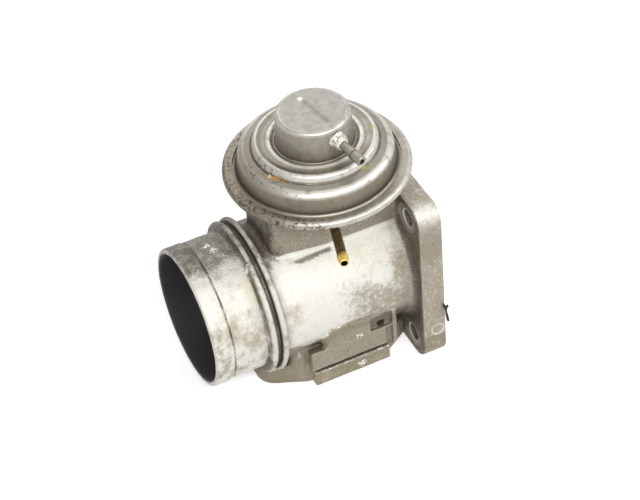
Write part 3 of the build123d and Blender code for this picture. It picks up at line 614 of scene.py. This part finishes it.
def worn_and_lit_edges(f, middling, sand):
    """Sharp edges in part, worn; a painted highlight on the mouth's lip; and the ridges' crests."""
    sharp = f.both(f.edges(*CONVEX), f.ramp(sand, 0.35, 0.60), most=0.75)
    # painted highlight along the mouth's lip
    lip_highlight = f.both(f.ramp(f.x, MOUTH_X + 0.9, MOUTH_X + 0.3), f.ramp(sand, 0.62, 0.45), most=0.8)
    return f.either(sharp, lip_highlight, ridge_crest_wear_and_highlights(f, middling))


def ridge_crest_wear_and_highlights(f, middling):
    """Hose stop ridges, rubbed bright and given a painted highlight along their crests, on the front."""
    crest = f.between(f.round_duct(), RIDGE_R - 0.6, RIDGE_R + 0.2, soft=0.4)
    off_pedestal = f.ramp(f.z, PEDESTAL_FOOT_Z, PEDESTAL_FOOT_Z + 1.0)
    on_ridges = f.between(f.x, RIDGES_X[0] - 2.0, RIDGES_X[1] + 2.0, soft=0.5)
    on_front = f.ramp(f.y, 18.0, 0.0)
    return f.both(crest, off_pedestal, on_ridges, on_front, f.ramp(middling, 0.66, 0.45), most=0.9)


def turned_lines(f, grain):
    """Painted shade, with dirt, in the step behind the turned band and along the foot of the hose stop
    ridges.
    """
    lines = f.between(f.x, BAND_END_X + 0.1, BAND_END_X + 0.8, soft=0.3)
    for ridge in RIDGES_X:
        left_foot = f.between(f.x, ridge - 2.0, ridge - 1.5, soft=0.5)
        right_foot = f.between(f.x, ridge + 1.5, ridge + 2.0, soft=0.5)
        lines = f.either(lines, left_foot, right_foot)
    patchy = f.ramp(f.moved(f.noise(8.0), grain, 0.3), 0.45, 0.75)
    off_bore = f.ramp(f.round_duct(), SPIGOT_R - 0.8, SPIGOT_R - 0.3)
    off_crests = f.ramp(f.round_duct(), RIDGE_R - 1.3, RIDGE_R - 1.9)
    return f.both(lines, patchy, off_bore, off_crests, most=0.95)


def shaded_faces(f):
    """Painted shade, where little light falls: on the flange's inner face, beside the pedestal and in the
    recess.
    """
    backward = f.ramp(f.facing((-1, 0, 0)), *TURNED_BACK)
    front_half = f.ramp(f.y, 10.0, -5.0)
    by_flange = f.between(f.x, FLANGE_BACK_X - 4.5, FLANGE_BACK_X + 0.3, soft=1.0)
    inner = f.both(backward, by_flange, front_half, most=0.6)
    beside_pedestal = f.between(f.x, FLANGE_BACK_X - 9.0, FLANGE_BACK_X - 0.5, soft=0.5)
    under_duct = f.both(f.ramp(f.z, -8.0, -14.0), f.ramp(f.round_duct(), DUCT_R + 1.5, DUCT_R - 0.5))
    gap = f.both(beside_pedestal, under_duct, most=0.8)
    in_recess = f.both(f.between(f.x, *RECESS_X, soft=0.3), f.between(f.z, *RECESS_Z, soft=0.3))
    recess = f.both(in_recess, f.between(f.y, RAIL_Y + 0.5, RAIL_Y + 10.2, soft=0.4), most=0.5)
    return f.either(inner, gap, recess)


def brown_grains(f, brown_places, broad, grain):
    """Specks of dirt, thick where the skin is brown and sparse elsewhere."""
    elsewhere = f.both(f.ramp(broad, 0.55, 0.65), most=0.3)
    return f.both(f.ramp(grain, 0.59, 0.65), f.moved(elsewhere, brown_places, 0.6))


def chips(f, grain):
    """White flakes where the skin has broken."""
    marks = [f.spot(place, radius, soft=0.5, ragged=1.6, grain=1.2) for place, radius in CHIPS]
    return f.both(f.either(*marks), f.ramp(grain, 0.62, 0.52))


def machined_places(f):
    """Sealing face, port face, and the spot faces round the bolt holes with their bright inner rims."""
    sealing = f.both(f.ramp(f.facing((1, 0, 0)), *TURNED_FLAT), f.ramp(f.x, -0.6, -0.2))
    port = f.both(f.ramp(f.facing((0, 0, -1)), *TURNED_FLAT), f.ramp(f.z, PORT_Z + 0.4, PORT_Z + 0.1))
    across = f.calc("SUBTRACT", f.calc("ABSOLUTE", f.y), BOLT_Y)
    up = f.calc("SUBTRACT", f.calc("ABSOLUTE", f.z), BOLT_Z)
    from_bolt = f.length(across, up)
    faced = f.between(f.x, *SPOTFACE_X, soft=0.2)
    spot_face = f.both(f.ramp(from_bolt, SPOTFACE_R + 0.1, SPOTFACE_R - 0.3), faced, most=0.25)
    hole_rim = f.both(f.between(from_bolt, BOLT_HOLE_R - 0.2, BOLT_HOLE_R + 0.7, soft=0.3), faced, most=0.9)
    return f.either(sealing, port, spot_face, hole_rim)


# ---- plated steel ---------------------------------------------------------------------
def plated_steel():
    """Satin zinc on pressed steel: crests worn bright with painted highlights, walls and folds darkened
    with dirt and painted shade, old paint marks.
    """
    f = Finish("plated_steel", metallic=0.9)
    broad = f.noise(14.0, detail=3.0)
    middling = f.noise(3.0, detail=5.0)
    grain = f.noise(0.7, detail=5.0, roughness=0.7)
    from_stem = f.round_stem()
    colour = f.two_tone(middling, ZINC, DULL_ZINC, 0.3, 0.7)
    on_cap_top = f.ramp(f.z, DOME_TOP_Z - 1.4, DOME_TOP_Z - 0.4)
    colour = f.cover(colour, f.two_tone(middling, CAP_ZINC, DULL_CAP), on_cap_top)
    # brown film, and painted shade on the walls and the left side
    colour = f.cover(colour, WALL_DIRT_AND_SHADE, wall_dirt_and_shade(f, from_stem, broad, middling), most=0.8)
    # worn crests with painted highlights
    colour = f.cover(colour, BRIGHT_ZINC, crest_wear_and_highlights(f, from_stem, middling), most=0.75)
    # painted shade and dirt in the folds and at the rings' step
    shaded_fold = f.ramp(f.moved(f.hollow(2.5), grain, 0.25), 0.35, 0.85)
    step = f.both(f.between(from_stem, *RING_STEP_R, soft=0.35), f.ramp(f.z, 66.0, 66.5))
    dirt_and_shade = f.either(f.both(shaded_fold, most=0.6), f.both(step, f.ramp(middling, 0.20, 0.50)))
    colour = f.cover(colour, BROWN_GRIME_AND_SHADE, dirt_and_shade, most=0.85)
    colour = f.cover(colour, BROWN_GRIME_AND_SHADE, rim_specks(f, from_stem, middling))
    f.paint(paint_marks(f, colour))
    f.polish(f.either(middling, shaded_fold), smooth=0.32, rough=0.50)
    f.relief(f.calc("ADD", grain, middling), depth=0.06)
    return f.material


def wall_dirt_and_shade(f, from_stem, broad, middling):
    """Darkening on the upright walls, in clouds over the rings, and thicker over the left side: brown film
    with painted shade.
    """
    on_rings = f.ramp(from_stem, CAP_FOOT_R - 1.0, CAP_FOOT_R + 1.0)
    # upright walls get painted shade
    upright = f.ramp(f.facing((0, 0, 1)), 0.60, 0.15)
    more_on_rings = f.uneven(on_rings, least=0.15, spread=0.85)
    shaded_wall = f.both(upright, more_on_rings, f.uneven(middling, least=0.45, spread=0.8))
    mottled = f.ramp(f.noise(2.2, detail=5.0, roughness=0.7), 0.35, 0.65)
    low_on_cap = f.ramp(f.moved(f.z, mottled, 5.0), DOME_TOP_Z - 0.9, RINGS_TOP_Z - 1.0)
    cap_foot = f.both(f.ramp(from_stem, CAP_FOOT_R, CAP_FOOT_R - 1.0), low_on_cap, most=0.6)
    clouds_over = f.both(f.ramp(broad, 0.40, 0.62), on_rings, most=0.5)
    # painted shade over the left side, away from the light
    on_left = f.ramp(f.moved(f.x, middling, 16.0), STEM_X - 2.0, STEM_X - 27.0)
    shade_on_left = f.both(on_left, on_rings, most=0.9)
    below_nipple = f.ramp(f.z, RINGS_TOP_Z + 0.5, RINGS_TOP_Z - 0.5)
    off_nipple = f.either(below_nipple, f.ramp(from_stem, CAP_FOOT_R + 1.5, CAP_FOOT_R), 0.25)
    return f.both(f.either(shaded_wall, cap_foot, clouds_over, shade_on_left), off_nipple)


def crest_wear_and_highlights(f, from_stem, middling):
    """Crests of the pressed rings, the cap's edge and the rolled rim, worn bright and given painted
    highlights, away from the left side.
    """
    high_up = f.ramp(f.z, DOME_TOP_Z - 2.4, DOME_TOP_Z - 1.1)
    cap_edge = f.both(f.between(from_stem, *CAP_EDGE_R, soft=0.6), high_up, most=0.5)
    inner = f.between(from_stem, *INNER_RING_R, soft=0.8)
    middle = f.between(from_stem, *MIDDLE_RING_R, soft=0.6)
    rings = f.both(f.either(inner, middle), f.ramp(f.z, RINGS_TOP_Z, RINGS_TOP_Z - 1.0))
    shoulder = f.both(f.between(from_stem, *OUTER_RING_R, soft=0.7), f.between(f.z, 64.5, 70.0, soft=1.0))
    rim = f.both(f.between(from_stem, *ROLLED_RIM_R, soft=0.6), most=0.7)
    off_left = f.ramp(f.moved(f.x, middling, 12.0), STEM_X - 30.0, STEM_X - 8.0)
    return f.both(f.either(cap_edge, rings, shoulder, rim), off_left, f.ramp(middling, 0.85, 0.45))


def rim_specks(f, from_stem, middling):
    """Dark nicks, thick along the left of the rolled rim and sparse elsewhere."""
    rim_left = f.both(f.ramp(from_stem, 33.0, 35.0), f.ramp(f.x, STEM_X + 5.0, STEM_X - 20.0))
    far_left = f.both(f.ramp(f.x, STEM_X - 12.0, STEM_X - 24.0), f.ramp(f.y, 6.0, -4.0))
    ring_left = f.both(f.between(from_stem, 25.0, 30.5, soft=1.0), far_left, most=0.8)
    plenty = f.uneven(f.either(rim_left, ring_left), least=-0.05, spread=0.14)
    flecks = f.ramp(f.calc("ADD", f.noise(1.5, roughness=0.7), plenty), 0.61, 0.65)
    in_groups = f.ramp(f.calc("ADD", middling, plenty), 0.48, 0.58)
    return f.both(flecks, in_groups, f.uneven(f.noise(2.5, detail=2.0), least=0.0, spread=1.5))


def paint_marks(f, colour):
    """Orange dab, yellow-green smears, and a dark stroke and a painted white glint on the cap."""
    stroke = f.streak(CAP_STROKE, radius=0.3, soft=1.5, ragged=0.5, grain=2.0)
    colour = f.cover(colour, DARK_STROKE, stroke, most=0.5)
    # painted glint on the cap's top
    glint = f.spot(CAP_GLINT, radius=0.5, soft=1.0, ragged=0.9, grain=1.5)
    colour = f.cover(colour, CHALK, glint, most=0.8)
    orange = f.streak(ORANGE_DAB, radius=0.3, soft=0.6, ragged=0.6, grain=1.2)
    dab_colour = f.blend(f.ramp(f.x, -60.0, -57.5), ORANGE, BURNT_ORANGE)
    colour = f.cover(colour, dab_colour, orange, most=0.85)
    straw = f.spot(STRAW_DAB, radius=0.4, soft=0.7, ragged=0.5, grain=1.2)
    colour = f.cover(colour, STRAW, straw, most=0.8)
    smear = f.streak(GREEN_SMEAR, radius=0.1, soft=0.9, ragged=0.9, grain=1.2)
    dab = f.spot(GREEN_DAB, radius=0.7, soft=0.8, ragged=0.8, grain=1.2)
    return f.cover(colour, YELLOW_GREEN, f.either(smear, dab), most=0.5)


# ---- small pieces ---------------------------------------------------------------------
def braze():
    """Bright filler metal, run in lumps."""
    f = Finish("braze", metallic=0.8)
    lumps, grain = f.noise(1.6, detail=3.0), f.noise(0.4)
    f.paint(f.two_tone(lumps, (0.70, 0.69, 0.64), (0.45, 0.42, 0.35)))
    f.polish(grain, smooth=0.25, rough=0.45)
    f.relief(lumps, depth=0.25)
    return f.material


def tarnished_brass():
    """Brown along the tube, bright yellow at the barb and dark in the bore."""
    f = Finish("tarnished_brass", metallic=0.8)
    grain, middling = f.noise(0.5), f.noise(2.0)
    colour = f.two_tone(middling, (0.115, 0.075, 0.035), (0.22, 0.15, 0.07))
    barb = f.ramp(f.moved(f.y, middling, 3.0), -37.5, -39.5)
    colour = f.cover(colour, (0.80, 0.58, 0.16), barb)
    bore = f.ramp(round_tap(f), TAP_BORE_R + 0.25, TAP_BORE_R + 0.05)
    f.paint(f.cover(colour, (0.035, 0.024, 0.014), bore))
    f.polish(grain, smooth=0.32, rough=0.55)
    f.relief(grain, depth=0.05)
    return f.material


def round_tap(f):
    """Distance from the tap tube's axis."""
    turn = math.radians(TAP_TURN)
    axis = Vector((math.sin(turn), -math.cos(turn), 0.0))
    offset = f.vector("SUBTRACT", f.place, Vector(TAP_ROOT))
    advance = f.vector("DOT_PRODUCT", offset, axis, result="Value")
    return f.vector("DISTANCE", offset, f.vector("SCALE", axis, scale=advance), result="Value")


def plain_metal(name, light, dark, smooth, rough, grain_size=0.6, stretch=None):
    """Machined or drawn metal in two tones."""
    f = Finish(name, metallic=0.85)
    grain, middling = f.noise(grain_size, stretch=stretch), f.noise(4.0)
    mixed = f.moved(f.calc("MULTIPLY", middling, 0.6), grain, 0.4)
    f.paint(f.two_tone(mixed, light, dark))
    f.polish(middling, smooth, rough)
    f.relief(grain, depth=0.04)
    return f.material


def black_rubber():
    """Black rubber, a little dusty."""
    f = Finish("black_rubber", metallic=0.0)
    grain, middling = f.noise(0.5), f.noise(4.0)
    f.paint(f.two_tone(middling, (0.018, 0.017, 0.017), (0.055, 0.05, 0.045), 0.4, 0.7))
    f.polish(middling, smooth=0.55, rough=0.8)
    f.relief(grain, depth=0.05)
    return f.material


def gasket_board():
    """Pressed fibre board, with its fibres along y."""
    f = Finish("gasket_board", metallic=0.0)
    fibre, middling = f.noise(0.4, detail=5.0, roughness=0.7, stretch=(1.0, 0.3, 1.0)), f.noise(5.0)
    f.paint(f.two_tone(fibre, (0.13, 0.115, 0.095), (0.07, 0.06, 0.05)))
    f.polish(middling, smooth=0.7, rough=0.9)
    f.relief(fibre, depth=0.05)
    return f.material


def dress_cad_nodes():
    """Gives every carried-over solid its finish."""
    sooty = plain_metal("sooty_steel", (0.16, 0.14, 0.12), (0.05, 0.045, 0.04), smooth=0.45, rough=0.7)
    ground = plain_metal(
        "ground_steel", (0.55, 0.54, 0.51), (0.34, 0.31, 0.27), smooth=0.16, rough=0.35,
        grain_size=0.3, stretch=(1.0, 1.0, 6.0),
    )
    bronze = plain_metal("bush_bronze", (0.50, 0.34, 0.17), (0.30, 0.19, 0.09), smooth=0.3, rough=0.5)
    screw = plain_metal("screw_steel", (0.52, 0.50, 0.46), (0.32, 0.29, 0.24), smooth=0.28, rough=0.5)
    pressed = plain_metal(
        "pressed_steel", (0.50, 0.485, 0.45), (0.36, 0.33, 0.28), smooth=0.3, rough=0.5, grain_size=1.2,
    )
    wire = plain_metal(
        "spring_wire", (0.30, 0.29, 0.28), (0.17, 0.16, 0.15), smooth=0.25, rough=0.45, grain_size=0.5,
    )
    plated, rubber = plated_steel(), black_rubber()
    finishes = {
        "valve_housing": cast_aluminium(),
        "valve_seat_ring": sooty,
        "valve_poppet": sooty,
        "valve_stem": ground,
        "stem_guide_bush": bronze,
        "stem_seal": rubber,
        "soot_shield": sooty,
        "actuator_gasket": gasket_board(),
        "actuator_base": plated,
        "actuator_screws": screw,
        "actuator_cover": plated,
        "vacuum_nipple": plated,
        "nipple_braze_collar": braze(),
        "tap_tube": tarnished_brass(),
        "diaphragm_lower_plate": pressed,
        "diaphragm": rubber,
        "diaphragm_upper_cup": pressed,
        "stem_nut": screw,
        "return_spring": wire,
        "flange_seal": rubber,
    }
    for name, finish in finishes.items():
        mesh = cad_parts[name].data
        mesh.materials.clear()
        mesh.materials.append(finish)


# ---- housing and braze ------------------------------------------------------------------
WELD = 0.002                 # corners nearer than this are one
CAST_GRID = 0.42             # spacing of the remeshed surface
CAST_WAVES = 0.14            # how far the casting's surface wanders
CAST_WAVE_SIZE = 7.0
CAST_KEPT = 0.24             # share of the faces kept
BRAZE_GRID = 0.20
BRAZE_LUMPS = 1.6
BRAZE_LUMP_SIZE = 2.2


def clear_selection():
    """Deselects everything."""
    bpy.ops.object.select_all(action="DESELECT")


def own_copy(node, name):
    """The named solid's mesh as a new object of its own, its loose triangles merged."""
    piece = bpy.data.objects.new(name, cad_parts[node].data.copy())
    bpy.context.collection.objects.link(piece)
    clear_selection()
    piece.select_set(True)
    bpy.context.view_layer.objects.active = piece
    bpy.ops.object.mode_set(mode="EDIT")
    bpy.ops.mesh.select_all(action="SELECT")
    bpy.ops.mesh.remove_doubles(threshold=WELD * MM)
    bpy.ops.object.mode_set(mode="OBJECT")
    return piece


def apply_modifier(piece, kind, **settings):
    """Adds a modifier with its settings, and applies it."""
    modifier = piece.modifiers.new(kind.lower(), kind)
    for key, value in settings.items():
        setattr(modifier, key, value)
    bpy.ops.object.modifier_apply(modifier=modifier.name)


def remesh(piece, grid):
    """New surface on a grid, which rounds every edge by about its spacing."""
    apply_modifier(piece, "REMESH", mode="VOXEL", voxel_size=grid * MM)


def displace(piece, name, size, strength, mid_level=0.5):
    """Moves the surface in and out by strength, in lumps of the given size."""
    texture = bpy.data.textures.new(name, "CLOUDS")
    texture.noise_scale = size * MM
    texture.noise_depth = 2
    apply_modifier(
        piece, "DISPLACE", texture=texture, strength=strength * MM, mid_level=mid_level,
        texture_coords="LOCAL",
    )


def soft_casting():
    """The housing with a casting's soft edges and slightly uneven skin."""
    piece = own_copy("valve_housing", "cast_housing")
    remesh(piece, CAST_GRID)
    apply_modifier(piece, "SMOOTH", factor=0.5, iterations=2)
    displace(piece, "casting_waves", CAST_WAVE_SIZE, CAST_WAVES)
    apply_modifier(piece, "DECIMATE", ratio=CAST_KEPT)
    stand_in_for(piece, "valve_housing")


def lumpy_braze():
    """The braze round the nipple's root, run unevenly before it set."""
    piece = own_copy("nipple_braze_collar", "braze_fillet")
    remesh(piece, BRAZE_GRID)
    displace(piece, "braze_lumps", BRAZE_LUMP_SIZE, BRAZE_LUMPS, mid_level=0.4)
    apply_modifier(piece, "SMOOTH", factor=0.5, iterations=3)
    stand_in_for(piece, "nipple_braze_collar")


def stand_in_for(piece, node):
    """Puts the finished piece in the place of the named solid."""
    clear_selection()
    piece.select_set(True)
    bpy.ops.object.shade_smooth()
    piece.data.materials.clear()
    piece.data.materials.append(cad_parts[node].data.materials[0])
    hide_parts(node)
    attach(piece, "body")


# ---- floor and light ----------------------------------------------------------------
FLOOR_LEFT = Vector((-78.0, 0.0, -35.0)) * MM      # pedestal's end, where the valve rests
FLOOR_RIGHT = Vector((-10.5, 0.0, -41.0)) * MM     # foot of the flange
FLOOR_GAP = Vector((0.0, 0.0, 0.05)) * MM          # between the floor and the valve
FLOOR_SIZE = 6.0
FLOOR_WHITE = (0.80, 0.80, 0.79, 1.0)
FLOOR_LIFT = 0.55            # light that the floor adds where it is seen directly
WORLD_LIGHT = 0.20           # light from all round
SEEN_WORLD_LIGHT = 1.0       # white beyond the floor
WHITE = (1.0, 1.0, 1.0, 1.0)
LAMP_TARGET = Vector((-40.0, 0.0, 10.0)) * MM      # middle of the valve
LAMPS = (                    # name, place, width and height, watts
    ("key", (-220, -820, 880), (1300, 220), 12),
    ("side", (900, -400, 700), (600, 600), 5),
    ("back", (250, 900, 900), (900, 900), 3),
)


def seen_or_mirrored(nodes, links):
    """1 for rays from the camera and for those that metal and glass mirror or pass on."""
    path = nodes.new("ShaderNodeLightPath")
    value = path.outputs["Is Camera Ray"]
    for kind in ("Is Glossy Ray", "Is Transmission Ray"):
        node = nodes.new("ShaderNodeMath")
        node.operation = "MAXIMUM"
        links.new(value, node.inputs[0])
        links.new(path.outputs[kind], node.inputs[1])
        value = node.outputs[0]
    return value


def add_floor():
    """Pale floor under the pedestal's end and the flange's foot, so it is a little tilted."""
    slope = math.atan2(FLOOR_LEFT.z - FLOOR_RIGHT.z, FLOOR_RIGHT.x - FLOOR_LEFT.x)
    middle = (FLOOR_LEFT + FLOOR_RIGHT) / 2 - FLOOR_GAP
    bpy.ops.mesh.primitive_plane_add(size=FLOOR_SIZE, location=middle, rotation=(0, slope, 0))
    floor = bpy.context.object
    floor.name = "floor"
    bpy.ops.object.transform_apply(location=True, rotation=True, scale=True)
    floor.data.materials.append(floor_material())


def floor_material():
    """White paper: seen directly it is lifted to white, and it keeps the shadow."""
    material = bpy.data.materials.new("white_floor")
    material.use_nodes = True
    nodes, links = material.node_tree.nodes, material.node_tree.links
    nodes.clear()
    paper = nodes.new("ShaderNodeBsdfDiffuse")
    paper.inputs["Color"].default_value = FLOOR_WHITE
    lift = nodes.new("ShaderNodeEmission")
    seen = nodes.new("ShaderNodeMath")
    seen.operation = "MULTIPLY"
    seen.inputs[1].default_value = FLOOR_LIFT
    both = nodes.new("ShaderNodeAddShader")
    out = nodes.new("ShaderNodeOutputMaterial")
    links.new(seen_or_mirrored(nodes, links), seen.inputs[0])
    links.new(seen.outputs[0], lift.inputs["Strength"])
    links.new(paper.outputs[0], both.inputs[0])
    links.new(lift.outputs[0], both.inputs[1])
    links.new(both.outputs[0], out.inputs["Surface"])
    return material


def add_lamp(name, place, size, watts):
    """White soft box that looks at the middle of the valve."""
    place = Vector(place) * MM
    turn = (LAMP_TARGET - place).to_track_quat("-Z", "Y").to_euler()
    bpy.ops.object.light_add(type="AREA", location=place, rotation=turn)
    lamp = bpy.context.object
    lamp.name = name
    lamp.data.shape = "RECTANGLE"
    lamp.data.size = size[0] * MM
    lamp.data.size_y = size[1] * MM
    lamp.data.energy = watts


def add_world():
    """Faint light from all round, and white where the world itself is seen or mirrored."""
    world = bpy.data.worlds.new("studio")
    bpy.context.scene.world = world
    world.use_nodes = True
    nodes, links = world.node_tree.nodes, world.node_tree.links
    nodes.clear()
    mix = nodes.new("ShaderNodeMixShader")
    for socket, strength in ((mix.inputs[1], WORLD_LIGHT), (mix.inputs[2], SEEN_WORLD_LIGHT)):
        background = nodes.new("ShaderNodeBackground")
        background.inputs["Color"].default_value = WHITE
        background.inputs["Strength"].default_value = strength
        links.new(background.outputs[0], socket)
    out = nodes.new("ShaderNodeOutputWorld")
    links.new(seen_or_mirrored(nodes, links), mix.inputs["Fac"])
    links.new(mix.outputs[0], out.inputs["Surface"])


# ---- the scene ------------------------------------------------------------------------
add_camera()
add_world()
add_floor()
for lamp in LAMPS:
    add_lamp(*lamp)
dress_cad_nodes()
soft_casting()
lumpy_braze()
bpy.context.scene.view_settings.view_transform = "Standard"
